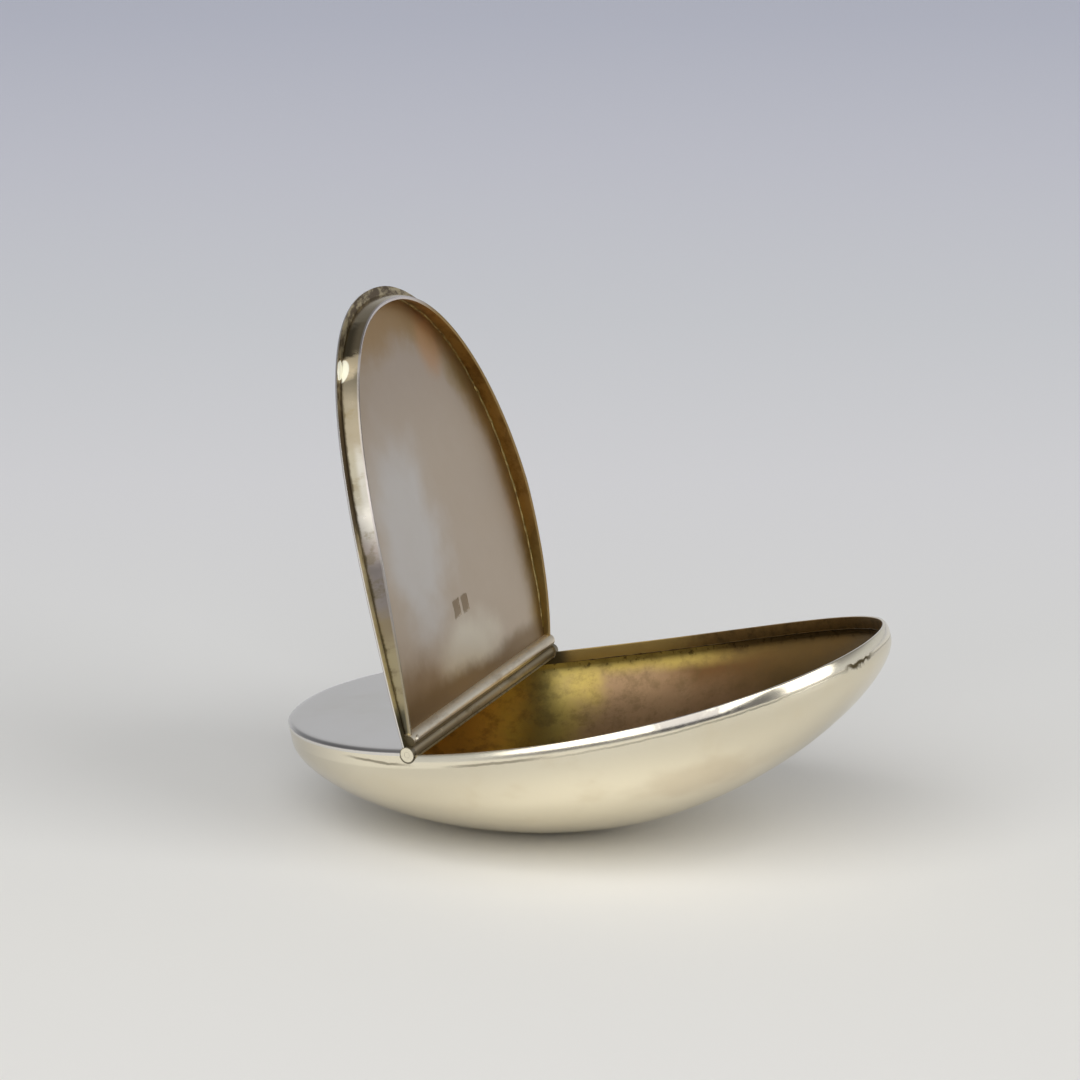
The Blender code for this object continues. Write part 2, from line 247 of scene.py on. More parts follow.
def new_material(name):
    material = bpy.data.materials.new(name)
    material.use_nodes = True
    return material, material.node_tree, material.node_tree.nodes["Principled BSDF"]


def put(tree, kind, inputs=None, **settings):
    """Adds a node; each input is a value, or a socket to link from."""
    node = tree.nodes.new("ShaderNode" + kind)
    for setting, value in settings.items():
        setattr(node, setting, value)
    for key, value in (inputs or {}).items():
        if isinstance(value, bpy.types.NodeSocket):
            tree.links.new(value, node.inputs[key])
        else:
            node.inputs[key].default_value = value
    return node


def level_place(tree, side):
    """Coordinates in millimetres in the level, shut box's own frame, from Object coordinates."""
    pose = POSE[side]
    turned = put(tree, "Mapping", {
        "Vector": put(tree, "TexCoord").outputs["Object"],
        "Location": pose.to_translation(),
        "Rotation": pose.to_euler(),
        "Scale": (MM, MM, MM)}, vector_type="TEXTURE")
    return turned.outputs["Vector"]


def split_place(tree, place):
    return put(tree, "SeparateXYZ", {0: place}).outputs


def calc(tree, operation, *values, clamp=False):
    node = put(tree, "Math", dict(enumerate(values)), operation=operation)
    node.use_clamp = clamp
    return node.outputs[0]


def times(tree, first, second):
    return calc(tree, "MULTIPLY", first, second)


def plus(tree, first, second):
    return calc(tree, "ADD", first, second)


def distance(tree, value, target):
    """How far a value is from a target, above it or below."""
    return calc(tree, "ABSOLUTE", calc(tree, "SUBTRACT", value, target))


def centred(tree, pattern):
    """A noise pattern moved down, so that it goes both ways from 0."""
    return calc(tree, "SUBTRACT", pattern, 0.5)


def loosened(tree, value, pattern, amount):
    """Moves a value up and down with a noise pattern, so that a line drawn from it is ragged."""
    return plus(tree, value, times(tree, centred(tree, pattern), amount))


def vector_calc(tree, operation, first, second):
    return put(tree, "VectorMath", {0: first, 1: second}, operation=operation).outputs["Vector"]


def vector_length(tree, vector):
    return put(tree, "VectorMath", {0: vector}, operation="LENGTH").outputs["Value"]


def ramp(tree, value, low, high, start=0.0, end=1.0):
    """A smooth step from start to end while the value goes from low to high."""
    node = put(tree, "MapRange", {"Value": value, "From Min": low, "From Max": high,
                                  "To Min": start, "To Max": end}, interpolation_type="SMOOTHSTEP")
    return node.outputs["Result"]


def line_at(tree, value, target, width):
    """1 where the value is near the target, fading to 0 at the width."""
    return ramp(tree, distance(tree, value, target), width, width * 0.3)


def cloud(tree, place, scale, detail=3.0, roughness=0.55, stretch=(1, 1, 1)):
    """Noise whose scale is in features per millimetre."""
    if stretch != (1, 1, 1):
        place = put(tree, "Mapping", {"Vector": place, "Scale": stretch}).outputs["Vector"]
    node = put(tree, "TexNoise", {"Vector": place, "Scale": scale, "Detail": detail, "Roughness": roughness})
    return node.outputs["Fac"]


def patch(tree, place, centre, reach, ragged=0.0, grain=0.4):
    """1 inside an oval patch of the level box, fading to 0 at its reach; ragged roughens its edge."""
    away = vector_calc(tree, "SUBTRACT", place, centre)
    far = vector_length(tree, vector_calc(tree, "DIVIDE", away, reach))
    if ragged:
        far = loosened(tree, far, cloud(tree, place, grain, detail=4.0), ragged)
    return ramp(tree, far, 1.0, 0.35)


def blend_colour(tree, share, first, second):
    """Mixes two colours; each is a tuple or a socket."""
    node = put(tree, "Mix", data_type="RGBA")
    sockets = {"Factor": share, "A": first, "B": second}
    for key, value in sockets.items():
        socket = [s for s in node.inputs if s.name == key and s.enabled][0]
        if isinstance(value, bpy.types.NodeSocket):
            tree.links.new(value, socket)
        elif key == "Factor":
            socket.default_value = value
        else:
            socket.default_value = (*value, 1.0)
    return [s for s in node.outputs if s.enabled][0]


def tint(tree, colour, share, strength, tone):
    """Lays a tone over a colour where the share says so; the strength is a value or another share."""
    return blend_colour(tree, times(tree, share, strength), colour, tone)


def tone_ramp(tree, share, tones):
    """A ramp through (place, tone) pairs; the share goes from 0 at the first place to 1 at the last."""
    node = put(tree, "ValToRGB", {"Fac": share})
    stops = node.color_ramp.elements
    first, last = tones[0][0], tones[-1][0]
    for place, tone in tones[1:-1]:
        stops.new((place - first) / (last - first)).color = (*tone, 1.0)
    stops[0].color = (*tones[0][1], 1.0)
    stops[len(tones) - 1].color = (*tones[-1][1], 1.0)
    return node.outputs["Color"]


def share_of_outline(tree, place):
    """1 on the oval outline, less inside it."""
    split = split_place(tree, place)
    powers = []
    for axis, half in (("X", HALF_LENGTH), ("Y", HALF_WIDTH)):
        share = calc(tree, "ABSOLUTE", calc(tree, "DIVIDE", split[axis], half / MM))
        powers.append(calc(tree, "POWER", share, OUTLINE_POWER))
    return calc(tree, "POWER", plus(tree, *powers), 1 / OUTLINE_POWER)


def above_rim(tree, place):
    """Height above the rim's own curve, below 0 on the band and the bowl."""
    split = split_place(tree, place)
    squared = calc(tree, "POWER", calc(tree, "DIVIDE", split["X"], HALF_LENGTH / MM), 2.0)
    return calc(tree, "SUBTRACT", split["Z"], times(tree, squared, END_RISE / MM))


def above_free_edge(tree, place):
    """Height above the bezel's free edge, with the lid shut."""
    along = calc(tree, "SUBTRACT", split_place(tree, place)["X"], HINGE_X / MM)
    share = calc(tree, "POWER", calc(tree, "DIVIDE", along, BEZEL_TAPER / MM, clamp=True), 0.5)
    return plus(tree, above_rim(tree, place), times(tree, share, BEZEL_HEIGHT / MM))


def scratches(tree, place):
    """Faint polishing lines in two directions."""
    lines = []
    for turn, shift in ((0.5, 3.0), (2.1, 11.0)):
        turned = put(tree, "Mapping", {"Vector": place, "Location": (shift, shift, 0),
                                       "Rotation": (0, 0, turn), "Scale": (0.25, 9.0, 9.0)})
        lines.append(cloud(tree, turned.outputs["Vector"], 1.0, detail=2.0))
    return plus(tree, *lines)


def finish_shader(tree, shader, colour, roughness, height, depth):
    """Plugs a metal's colour, roughness and surface height (depth in metres) into its shader."""
    shader.inputs["Metallic"].default_value = 1.0
    tree.links.new(colour, shader.inputs["Base Color"])
    tree.links.new(roughness, shader.inputs["Roughness"])
    bump = put(tree, "Bump", {"Height": height, "Distance": depth, "Strength": 1.0})
    tree.links.new(bump.outputs["Normal"], shader.inputs["Normal"])


# Silver of the bowl and the band: warm, brighter on the band and on a painted bright patch low on the near
# side that stands for the lit floor mirrored there, greyer at the left tip

SILVER_PLAIN = (0.79, 0.725, 0.57)
SILVER_BRIGHT = (0.95, 0.88, 0.70)
SILVER_MOTTLED = (0.74, 0.63, 0.44)
SILVER_TIP = (0.67, 0.625, 0.53)
SILVER_FOGGED = (0.55, 0.43, 0.28)
SEAM_BLACK = (0.10, 0.075, 0.035)
REFLECTION_BLUE_GREY = (0.16, 0.15, 0.16)
LIT_LOWER_SIDE = {"centre": (7.0, -19.0, -11.0), "reach": (26.0, 18.0, 15.0)}
FOGGED_SIDE = {"centre": (19.0, -17.0, -8.0), "reach": (11.0, 8.0, 4.0), "ragged": 0.9, "grain": 0.25}
STREAK_SPAN = {"centre": (-18.5, -21.5, 0.0), "reach": (6.0, 8.0, 6.0)}
CREASE_SPAN = {"centre": (-2.5, -24.0, -1.0), "reach": (8.5, 6.0, 4.0)}
OPEN_SEAM_SPAN = {"centre": (37.0, -6.4, 1.2), "reach": (2.6, 4.6, 3.0)}
RIM_REFLECTION_SPAN = {"centre": (20.5, -21.5, 0.5), "reach": (7.5, 7.0, 1.7), "ragged": 1.1, "grain": 0.9}


def seam_stains_and_shade(tree, place, along, height):
    """Dark lines: the seam under the band, growing to the right where it also paints the band's dark
    reflection, with a streak, a crease line that is partly a painted dark reflection, and a gap, and a ring
    of painted shade round the collar.
    """
    wobble = cloud(tree, place, 0.8, detail=4.0)
    ragged_height = loosened(tree, height, wobble, 0.3)
    # The seam is a dark joint; its growth to the right paints the band's dark reflection
    seam = times(tree, line_at(tree, ragged_height, -BAND_HEIGHT / MM, 0.16),
                 ramp(tree, along, -4.0, 14.0, 0.04, 0.38))
    streak_height = plus(tree, ragged_height, times(tree, plus(tree, along, 11.0), 0.075))
    streak = times(tree, line_at(tree, streak_height, -1.40, 0.22), patch(tree, place, **STREAK_SPAN))
    # Crease line at the band's foot: partly stain, partly a painted dark reflection
    crease = times(tree, line_at(tree, ragged_height, -1.38, 0.24), patch(tree, place, **CREASE_SPAN))
    streak = calc(tree, "MAXIMUM", times(tree, streak, 0.65), times(tree, crease, 0.6))
    gap_height = loosened(tree, height, wobble, 1.6)
    open_seam = times(tree, line_at(tree, gap_height, -1.55, 0.42), patch(tree, place, **OPEN_SEAM_SPAN))
    # Painted shade: a dark ring in the gap round the collar
    from_pin = vector_calc(tree, "SUBTRACT", place, (HINGE_X / MM, 0.0, HINGE_Z / MM))
    round_pin = vector_length(tree, vector_calc(tree, "MULTIPLY", from_pin, (1.0, 0.0, 1.0)))
    ring = times(tree, line_at(tree, round_pin, COLLAR_RADIUS / MM + 0.02, 0.16), 0.8)
    return calc(tree, "MAXIMUM", calc(tree, "MAXIMUM", seam, ring), calc(tree, "MAXIMUM", streak, open_seam))


def box_silver():
    """Warm silver of the bowl and the rim band, with the solder seam between them, painted light low on the
    near side, and painted dark reflections and shade in its lines.
    """
    material, tree, shader = new_material("box_silver_warm")
    place = level_place(tree, "box")
    along = split_place(tree, place)["X"]
    height = above_rim(tree, place)
    # Painted light: the bright patch low on the near side; the band above its seam is brighter silver
    band_and_lit_lower_side = calc(tree, "MAXIMUM", patch(tree, place, **LIT_LOWER_SIDE), ramp(tree, height, -1.7, -1.4))
    colour = blend_colour(tree, band_and_lit_lower_side, SILVER_PLAIN, SILVER_BRIGHT)
    mottle = ramp(tree, cloud(tree, place, 0.16, detail=5.0, roughness=0.62), 0.50, 0.75)
    colour = tint(tree, colour, mottle, 0.30, SILVER_MOTTLED)
    colour = tint(tree, colour, ramp(tree, along, -20.0, -34.0), 0.9, SILVER_TIP)
    colour = tint(tree, colour, patch(tree, place, **FOGGED_SIDE), 0.34, SILVER_FOGGED)
    # The seam lines hold stains, painted dark reflection and painted shade
    stain = seam_stains_and_shade(tree, place, along, height)
    colour = blend_colour(tree, stain, colour, SEAM_BLACK)
    # Painted dark reflection on the upper part of the rim band, laid on in blue-grey blotches
    rim_reflection = times(tree, patch(tree, place, **RIM_REFLECTION_SPAN), ramp(tree, height, -1.35, -1.0))
    colour = tint(tree, colour, rim_reflection, 0.75, REFLECTION_BLUE_GREY)
    roughness = plus(tree, 0.14, times(tree, cloud(tree, place, 0.3), 0.10))
    roughness = plus(tree, roughness, times(tree, stain, 0.3))
    surface = plus(tree, cloud(tree, place, 0.12, detail=1.0), times(tree, scratches(tree, place), 0.003))
    surface = calc(tree, "SUBTRACT", surface, times(tree, stain, 0.5))
    finish_shader(tree, shader, colour, roughness, surface, 0.03 * MM)
    return material


# Gilding inside the bowl

GILT_BARE = (0.34, 0.235, 0.14)
GILT_BROWN = (0.15, 0.085, 0.037)
GILT_OLIVE = (0.50, 0.39, 0.115)
GILT_GOLD = (0.66, 0.43, 0.135)
GILT_DARK_END = (0.145, 0.10, 0.042)
GILT_WORN = (0.13, 0.095, 0.045)
GILT_SPOTS = (0.07, 0.045, 0.015)


def gilt_inside():
    """Worn gilding: gold under the fixed plate, olive by the hinge and the rim, dark at the right end."""
    material, tree, shader = new_material("bowl_gilt_worn")
    place = level_place(tree, "box")
    patches = cloud(tree, place, 0.13, detail=5.0, roughness=0.6)
    fine = cloud(tree, place, 1.1, detail=4.0, roughness=0.65)
    height = above_rim(tree, place)
    loose_height = loosened(tree, height, patches, 2.4)
    loose_along = loosened(tree, split_place(tree, place)["X"], patches, 14.0)
    brown = times(tree, ramp(tree, loose_along, -2.0, 6.0), ramp(tree, loose_height, -7.0, -4.0, 0.45, 1.0))
    colour = blend_colour(tree, brown, GILT_BARE, GILT_BROWN)
    olive = calc(tree, "MAXIMUM", ramp(tree, loose_height, -4.4, -2.6), ramp(tree, loose_along, -6.0, -13.0))
    colour = tint(tree, colour, olive, ramp(tree, loose_along, 14.0, 3.0, 0.25, 1.0), GILT_OLIVE)
    colour = blend_colour(tree, ramp(tree, loose_along, -15.0, -22.0), colour, GILT_GOLD)
    colour = blend_colour(tree, ramp(tree, loose_along, 8.0, 20.0), colour, GILT_DARK_END)
    worn = ramp(tree, cloud(tree, place, 0.45, detail=6.0, roughness=0.72), 0.45, 0.66)
    colour = tint(tree, colour, worn, 0.42, GILT_WORN)
    spot_share = plus(tree, times(tree, line_at(tree, height, -1.9, 0.9), 0.7), 0.05)
    colour = tint(tree, colour, ramp(tree, fine, 0.54, 0.64), spot_share, GILT_SPOTS)
    roughness = plus(tree, 0.30, times(tree, fine, 0.14))
    finish_shader(tree, shader, colour, roughness, fine, 0.008 * MM)
    return material


# Gilding on the band's inner face

BAND_GILT = (0.29, 0.19, 0.075)
BAND_GILT_WORN = (0.16, 0.11, 0.045)
BAND_GILT_KEPT = (0.56, 0.41, 0.15)
BAND_BY_HINGE = (0.09, 0.075, 0.045)
KEPT_SPAN = {"centre": (-4.0, 24.0, -0.5), "reach": (12.0, 3.0, 3.0), "ragged": 0.5}


def band_gilt():
    """Dark tarnished gilding on the band's inner face, kept golden for a stretch on the far side."""
    material, tree, shader = new_material("band_gilt_dark")
    place = level_place(tree, "box")
    fine = cloud(tree, place, 0.7, detail=5.0, roughness=0.65)
    colour = blend_colour(tree, ramp(tree, fine, 0.4, 0.7), BAND_GILT, BAND_GILT_WORN)
    colour = blend_colour(tree, patch(tree, place, **KEPT_SPAN), colour, BAND_GILT_KEPT)
    by_hinge = ramp(tree, split_place(tree, place)["X"], -11.0, -13.2)
    colour = blend_colour(tree, by_hinge, colour, BAND_BY_HINGE)
    roughness = plus(tree, 0.28, times(tree, fine, 0.2))
    finish_shader(tree, shader, colour, roughness, fine, 0.01 * MM)
    return material


# Silver of the cover

PLATE_GREY = (0.83, 0.80, 0.76)
PLATE_SMEARED = (0.79, 0.76, 0.70)
SHOULDER_REFLECTION_DARK = (0.24, 0.235, 0.235)


def plate_silver(side, name):
    """Grey silver with a high polish, with a painted dark reflection in a line round the shoulder."""
    material, tree, shader = new_material(name)
    place = level_place(tree, side)
    smear = cloud(tree, place, 0.09, detail=4.0, roughness=0.6)
    colour = blend_colour(tree, ramp(tree, smear, 0.4, 0.75), PLATE_GREY, PLATE_SMEARED)
    height = above_rim(tree, place)
    along = split_place(tree, place)["X"]
    # Painted dark reflection along the shoulder: strongest on the left, fading out at the left tip
    shoulder = times(tree, ramp(tree, height, 0.67, 0.57), ramp(tree, height, 0.30, 0.38))
    shoulder = times(tree, shoulder, ramp(tree, along, -26.0, -15.0, 0.8, 0.45))
    shoulder = times(tree, shoulder, ramp(tree, along, -35.5, -31.0, 0.1, 1.0))
    colour = blend_colour(tree, shoulder, colour, SHOULDER_REFLECTION_DARK)
    lines = scratches(tree, place)
    roughness = plus(tree, 0.15, times(tree, lines, 0.06))
    finish_shader(tree, shader, colour, roughness, lines, 0.0004 * MM)
    return material


# The lid's inside

LID_MAUVE = (0.60, 0.50, 0.385)
LID_COOL = (0.69, 0.645, 0.585)
LID_FOOT_BRIGHT = (0.84, 0.78, 0.64)
LID_SHADED = (0.42, 0.34, 0.28)
LID_AMBER = (0.41, 0.285, 0.12)
LID_TIP = (0.41, 0.27, 0.13)
LID_GLOW = (0.60, 0.33, 0.15)
PUNCH_DARK = (0.24, 0.17, 0.09)
LID_CORNER_SHADE = (0.28, 0.17, 0.07)
LID_FOOT = (0.29, 0.20, 0.105)
LEDGE_DARK = (0.15, 0.11, 0.065)
LEDGE_BARE = (0.52, 0.44, 0.28)
LEDGE_CREAM = (0.90, 0.79, 0.48)
LEDGE_OLIVE = (0.20, 0.18, 0.11)
COOL_SPAN = {"centre": (9.0, -9.0, 0.0), "reach": (17.0, 12.0, 30.0), "ragged": 0.8, "grain": 0.12}
BRIGHT_FOOT_SPAN = {"centre": (-8.0, 0.0, 0.0), "reach": (6.5, 12.0, 30.0), "ragged": 0.6, "grain": 0.15}
GLOW_SPAN = {"centre": (28.8, 10.5, 0.0), "reach": (5.0, 4.5, 30.0), "ragged": 0.6, "grain": 0.2}
CORNER_SPAN = {"centre": (-9.5, -16.5, 0.0), "reach": (6.5, 9.5, 30.0), "ragged": 0.7, "grain": 0.2}


def punched(tree, place, along, across):
    """1 in the two punched dents, with a ragged edge."""
    ragged = times(tree, centred(tree, cloud(tree, place, 1.3, detail=4.0)), 0.9)
    from_row = plus(tree, distance(tree, along, PUNCH_X / MM), ragged)
    sides = [distance(tree, across, y / MM) for y in PUNCH_PLACES]
    nearest = plus(tree, calc(tree, "MINIMUM", *sides), ragged)
    shares = [ramp(tree, away, size / MM * 0.58, size / MM * 0.42)
              for away, size in ((from_row, PUNCH_LONG), (nearest, PUNCH_WIDE))]
    return times(tree, *shares)


def ledge_toned(tree, along, across, outline):
    """The narrow ledge outside the bezel: speckled by the tip, cream further down, olive by the hinge."""
    round_ledge = put(tree, "CombineXYZ", {0: times(tree, along, 0.45), 1: times(tree, across, 0.45),
                                           2: times(tree, outline, 45.0)}).outputs["Vector"]
    speck = cloud(tree, round_ledge, 1.0, detail=4.0, roughness=0.65)
    bare = times(tree, ramp(tree, speck, 0.42, 0.62), ramp(tree, along, 24.0, 29.0))
    colour = blend_colour(tree, bare, LEDGE_DARK, LEDGE_BARE)
    cream = ramp(tree, loosened(tree, along, speck, 12.0), 15.0, 8.0)
    colour = blend_colour(tree, cream, colour, LEDGE_CREAM)
    return blend_colour(tree, ramp(tree, along, -7.5, -10.0), colour, LEDGE_OLIVE)


def lid_toned():
    """The lid's inside: cool grey where it is worn, mauve between, amber to dark brown towards its edges, and
    painted shade along the hinge and in the near corner by it.
    """
    material, tree, shader = new_material("lid_inside_toned")
    place = level_place(tree, "lid")
    along = split_place(tree, place)["X"]
    across = split_place(tree, place)["Y"]
    patches = cloud(tree, place, 0.10, detail=4.0, roughness=0.6)
    outline = share_of_outline(tree, place)
    colour = blend_colour(tree, patch(tree, place, **COOL_SPAN), LID_MAUVE, LID_COOL)
    colour = tint(tree, colour, patch(tree, place, **BRIGHT_FOOT_SPAN), 0.8, LID_FOOT_BRIGHT)
    colour = tint(tree, colour, ramp(tree, along, 14.0, 33.0), 0.6, LID_SHADED)
    amber = ramp(tree, loosened(tree, outline, patches, 0.30), 0.75, 0.92)
    colour = tint(tree, colour, amber, ramp(tree, across, -4.0, 12.0, 0.25, 1.0), LID_AMBER)
    tip = ramp(tree, loosened(tree, along, patches, 6.0), 28.5, 33.0)
    colour = tint(tree, colour, tip, 0.9, LID_TIP)
    colour = tint(tree, colour, patch(tree, place, **GLOW_SPAN), 0.6, LID_GLOW)
    punches = punched(tree, place, along, across)
    colour = tint(tree, colour, punches, 0.6, PUNCH_DARK)
    # Painted shade in the near corner by the hinge
    colour = tint(tree, colour, patch(tree, place, **CORNER_SPAN), 0.6, LID_CORNER_SHADE)
    # Painted shade in a dark brown band along the hinge
    foot_along = plus(tree, loosened(tree, along, patches, 4.0), ramp(tree, across, -18.0, 5.0, -1.5, -0.7))
    colour = tint(tree, colour, ramp(tree, foot_along, -9.0, -11.5), 0.95, LID_FOOT)
    ledge = ledge_toned(tree, along, across, outline)
    colour = blend_colour(tree, ramp(tree, outline, 0.955, 0.965), colour, ledge)
    roughness = plus(tree, 0.36, times(tree, cloud(tree, place, 0.25), 0.16))
    roughness = plus(tree, roughness, times(tree, punches, 0.2))
    finish_shader(tree, shader, colour, roughness, scratches(tree, place), 0.0012 * MM)
    return material


# The bezel's outer wall

BEZEL_SMOKY = (0.30, 0.265, 0.245)
BEZEL_MAUVE = (0.45, 0.39, 0.345)
BEZEL_GREY = (0.50, 0.47, 0.41)
BEZEL_CREAM_LOW = (0.33, 0.31, 0.265)
BEZEL_CREAM_HIGH = (0.26, 0.235, 0.175)
BEZEL_OLIVE = (0.22, 0.187, 0.13)
BEZEL_BROWN = (0.31, 0.25, 0.16)
BEZEL_STRAW = (0.40, 0.34, 0.21)
BEZEL_FOOT_REFLECTION = (0.12, 0.11, 0.075)
BEZEL_TIP_PALE = (0.80, 0.67, 0.45)
BEZEL_SPOTS = (0.20, 0.16, 0.09)
BEZEL_ROOT_JOINT_AND_SHADE = (0.07, 0.055, 0.03)
PAINTED_REFLECTION_LOW = (0.42, 0.34, 0.22)
PAINTED_REFLECTION_HIGH = (0.12, 0.095, 0.055)
PAINTED_REFLECTION_END = (0.56, 0.48, 0.34)
BEZEL_FAR_SIDE = (0.36, 0.24, 0.10)
FREE_EDGE_MAUVE = (0.42, 0.385, 0.355)
FREE_EDGE_DARK = (0.30, 0.27, 0.235)
FREE_EDGE_PALE = (0.74, 0.68, 0.64)
# The glint is a painted highlight
GLINT_WHITE = (0.97, 0.95, 0.83)
GLINT_SPAN = {"centre": (30.35, -15.3, 1.95), "reach": (1.85, 6.0, 1.25)}


def bezel_silver():
    """Stained silver: straw by the hinge, mauve and grey in the middle, olive, then pale at the tip, partly
    as a painted reflection; painted dark reflections at the foot and towards the tip, a dark root line partly
    of painted shade, and a painted white highlight.
    """
    material, tree, shader = new_material("bezel_silver_stained")
    place = level_place(tree, "lid")
    split = split_place(tree, place)
    stain = cloud(tree, place, 0.45, detail=5.0, roughness=0.65, stretch=(1.0, 1.0, 0.6))
    along = loosened(tree, split["X"], stain, 4.0)
    up = above_free_edge(tree, place)
    cream = blend_colour(tree, ramp(tree, up, 0.7, 1.3), BEZEL_CREAM_LOW, BEZEL_CREAM_HIGH)
    colour = BEZEL_SMOKY
    for start, end, tone in ((8.0, 10.5, BEZEL_MAUVE), (10.5, 13.0, BEZEL_GREY), (14.0, 16.5, cream),
                             (20.0, 23.5, BEZEL_OLIVE), (4.0, 1.5, BEZEL_BROWN), (1.0, -2.0, BEZEL_STRAW)):
        colour = blend_colour(tree, ramp(tree, along, start, end), colour, tone)
    # Painted dark reflection on the wall's foot by the hinge, above its free edge
    colour = tint(tree, colour, ramp(tree, along, -7.5, -9.5), ramp(tree, up, 0.25, 0.5), BEZEL_FOOT_REFLECTION)
    # Paler towards the tip: partly the metal's tone, partly a painted reflection of the lamp carried on past
    # where the lamp is mirrored
    colour = blend_colour(tree, ramp(tree, along, 29.0, 30.6), colour, BEZEL_TIP_PALE)
    colour = blend_colour(tree, ramp(tree, stain, 0.54, 0.66, 0.0, 0.55), colour, BEZEL_SPOTS)
    # Dark line at the root: partly a dark joint, partly painted shade in the corner with the plate
    loose_up = loosened(tree, above_rim(tree, place), stain, 0.9)
    colour = tint(tree, colour, ramp(tree, loose_up, -0.14, 0.10), ramp(tree, along, 29.0, 24.0, 0.4, 0.85),
                  BEZEL_ROOT_JOINT_AND_SHADE)

    # Painted dark reflection towards the tip, darkest high on the wall and lighter at the end
    painted_reflection = blend_colour(tree, ramp(tree, up, 0.5, 1.5), PAINTED_REFLECTION_LOW, PAINTED_REFLECTION_HIGH)
    painted_reflection = blend_colour(tree, ramp(tree, along, 34.0, 35.5), painted_reflection, PAINTED_REFLECTION_END)
    colour = tint(tree, colour, ramp(tree, along, 31.2, 32.0), 0.92, painted_reflection)
    colour = blend_colour(tree, ramp(tree, split["Y"], 6.0, 12.0), colour, BEZEL_FAR_SIDE)
    edge_colour = blend_colour(tree, ramp(tree, along, 17.0, 21.0), FREE_EDGE_MAUVE, FREE_EDGE_DARK)
    edge_colour = blend_colour(tree, ramp(tree, along, 27.5, 31.0), edge_colour, FREE_EDGE_PALE)
    near_side = times(tree, ramp(tree, split["Y"], 12.0, 5.0), ramp(tree, along, -4.0, 5.0, 0.3, 1.0))
    colour = tint(tree, colour, ramp(tree, up, 0.30, 0.20), near_side, edge_colour)
    # Painted highlight: a white glint at the wall's root by the tip, beside the bright drop on the ledge
    glint = ramp(tree, patch(tree, place, **GLINT_SPAN), 0.40, 0.62)
    colour = blend_colour(tree, glint, colour, GLINT_WHITE)
    gloss = times(tree, ramp(tree, along, 26.0, 30.0, 0.2, 0.30), ramp(tree, along, 31.2, 32.2, 1.0, 0.35))
    roughness = plus(tree, gloss, times(tree, stain, 0.2))
    roughness = plus(tree, roughness, times(tree, glint, 0.4))
    finish_shader(tree, shader, colour, roughness, stain, 0.010 * MM)
    return material


# The bezel's inner face

BEZEL_GOLD = (0.42, 0.27, 0.10)
BEZEL_GOLD_WORN = (0.25, 0.15, 0.05)
BEZEL_GOLD_OLIVE = (0.30, 0.26, 0.12)


def bezel_gilt():
    """Golden brown on the bezel's inner face, olive low down."""
    material, tree, shader = new_material("bezel_gilt_inside")
    place = level_place(tree, "lid")
    stain = cloud(tree, place, 0.4, detail=5.0, roughness=0.65)
    colour = blend_colour(tree, ramp(tree, stain, 0.42, 0.68), BEZEL_GOLD, BEZEL_GOLD_WORN)
    low = ramp(tree, split_place(tree, place)["X"], 6.0, -4.0)
    colour = tint(tree, colour, low, 0.6, BEZEL_GOLD_OLIVE)
    roughness = plus(tree, 0.3, times(tree, stain, 0.2))
    finish_shader(tree, shader, colour, roughness, stain, 0.010 * MM)
    return material


# Hinge and solder metals: the clean or bare tone, the grimy or dark one, and for the silver its roughness

# The knuckles' silver is darker than the bearer's: partly grime, partly painted shade under the bearer
KNUCKLE_SILVER = ((0.46, 0.39, 0.265), (0.27, 0.215, 0.12), 0.48)
BEARER_SILVER = ((0.94, 0.86, 0.70), (0.70, 0.61, 0.47), 0.38)
BEARER_END_DARK = ((0.17, 0.14, 0.085), (0.08, 0.06, 0.03), 0.45)
DROP_DULL = ((0.70, 0.64, 0.52), (0.42, 0.35, 0.25), 0.40)
# Bright cream for the ledge drop: a painted highlight
DROP_GLINT_CREAM = ((0.96, 0.95, 0.83), (0.93, 0.91, 0.78), 0.55)
TROUGH_GILT = ((0.30, 0.22, 0.09), (0.12, 0.085, 0.04))
SEAM_GILT = ((0.10, 0.07, 0.03), (0.04, 0.03, 0.015))
ROOT_GILT = ((0.52, 0.43, 0.19), (0.26, 0.19, 0.09))


def hinge_silver(name, side, clean, grimy, dullness):
    """Worn silver with grime in it, and darker towards the far end of the hinge."""
    material, tree, shader = new_material(name)
    place = level_place(tree, side)
    grime = cloud(tree, place, 0.5, detail=5.0, roughness=0.65, stretch=(1.0, 0.3, 1.0))
    colour = blend_colour(tree, ramp(tree, grime, 0.48, 0.70), clean, grimy)
    far_end = ramp(tree, split_place(tree, place)["Y"], 4.0, 20.0, 0.0, 0.55)
    colour = blend_colour(tree, far_end, colour, grimy)
    roughness = plus(tree, dullness, times(tree, grime, 0.14))
    finish_shader(tree, shader, colour, roughness, grime, 0.004 * MM)
    return material


def solder_gilt(name, side, bare, dark):
    """Old solder, gilt in places and black between."""
    material, tree, shader = new_material(name)
    place = level_place(tree, side)
    speck = cloud(tree, place, 1.4, detail=4.0, roughness=0.7)
    colour = blend_colour(tree, ramp(tree, speck, 0.46, 0.68), bare, dark)
    roughness = plus(tree, 0.3, times(tree, speck, 0.2))
    finish_shader(tree, shader, colour, roughness, speck, 0.03 * MM)
    return material


# Shape building blocks

def spin_profile(points_at, closed, centre, axis, steps):
    """Spins a profile's points, open or joined into a loop, once round an axis."""
    shape = bmesh.new()
    points = [shape.verts.new(place) for place in points_at]
    edges = [shape.edges.new(pair) for pair in zip(points, points[1:])]
    if closed:
        edges.append(shape.edges.new((points[-1], points[0])))
    bmesh.ops.spin(shape, geom=points + edges, cent=centre, axis=axis, angle=math.tau, steps=steps,
                   use_merge=True)
    bmesh.ops.remove_doubles(shape, verts=shape.verts, dist=SAME_POINT)
    return shape


